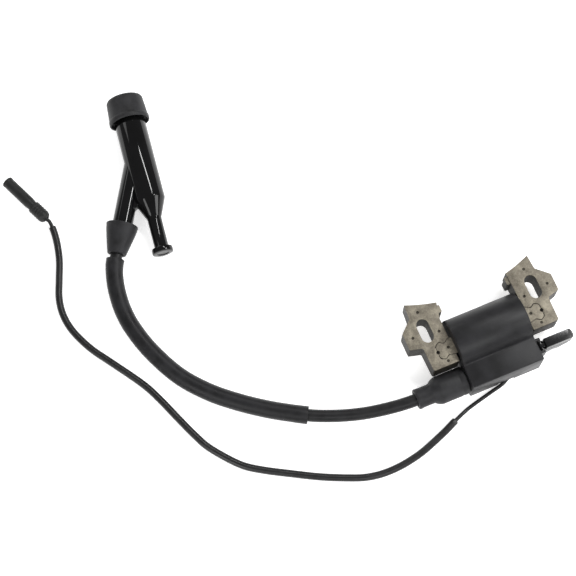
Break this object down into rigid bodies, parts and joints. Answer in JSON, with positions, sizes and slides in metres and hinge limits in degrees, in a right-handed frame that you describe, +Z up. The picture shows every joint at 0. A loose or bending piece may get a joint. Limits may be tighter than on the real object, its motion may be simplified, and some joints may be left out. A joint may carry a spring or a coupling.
{
  "type": "ignition coil",
  "caption": "Flywheel ignition coil with a two-pole laminated core, high-tension lead, Y-shaped spark plug cap, stop wire with bullet connector and a hinged wire clip.",
  "frame": {"origin": "on the surface the part stands on, under the centre of the coil and core, leaving out the two cords and what is on them", "axes": "+X along the laminated core from the lead boot to the wire clip, +Y towards the flywheel, +Z up"},
  "size_m": [0.2641, 0.263, 0.029],
  "materials": {
    "core_steel": "warm grey stamped laminations, slightly stained",
    "case_plastic": "fine satin moulding",
    "epoxy": "poured and cured, glossy",
    "bobbin_plastic": "natural nylon",
    "copper_wire": "enamelled copper wire",
    "circuit_board": "green solder mask",
    "black_nylon": "moulded black nylon",
    "capacitor_film": "dipped film capacitor",
    "ceramic": "cream ceramic",
    "brass": "turned and stamped brass",
    "tinned_steel": "tinned",
    "lead_rubber": "extruded, satin",
    "sleeve_rubber": "extruded rubber tube, soft sheen",
    "boot_rubber": "moulded, matte",
    "phenolic": "high gloss moulding",
    "wire_pvc": "extruded PVC, soft sheen"
  },
  "bodies": {
    "coil": {"core_pole_left": "core_steel", "core_pole_right": "core_steel", "core_bar": "core_steel", "coil_case": "case_plastic", "potting_compound": "epoxy", "primary_bobbin": "bobbin_plastic", "primary_winding": "copper_wire", "secondary_bobbin": "bobbin_plastic", "secondary_winding": "copper_wire", "trigger_board": "circuit_board", "power_transistor": "black_nylon", "timing_capacitor": "capacitor_film", "pickup_resistor": "ceramic", "high_tension_terminal": "brass", "ground_strap": "tinned_steel", "ht_lead": "lead_rubber", "ht_sleeve": "sleeve_rubber", "coil_lead_boot": "boot_rubber", "kill_wire": "wire_pvc", "kill_wire_sleeve": "wire_pvc", "connector_collar": "wire_pvc", "connector_socket": "wire_pvc", "bullet_receptacle": "brass", "clip_base": "black_nylon", "clip_pin": "tinned_steel"},
    "clip_jaw": {"clip_arm": "black_nylon"},
    "plug_cap": {"plug_cap_body": "phenolic", "plug_cap_boot": "boot_rubber", "cap_lead_boot": "boot_rubber", "cap_resistor": "ceramic", "cap_contact_spring": "tinned_steel", "cap_terminal_clip": "brass", "cap_lead_screw": "brass"}
  },
  "joints": [
    {"name": "clip_hinge", "type": "hinge", "parent": "coil", "child": "clip_jaw", "pos_m": [0.0241, -0.0201, 0.0135], "axis": [0, -1, 0], "range_deg": [0, 55]},
    {"name": "cap_swivel", "type": "hinge", "parent": "coil", "child": "plug_cap", "pos_m": [-0.1733, 0.1236, 0.0086], "axis": [0.5298, 0.8472, 0.0384], "range_deg": [0, 180]}
  ]
}
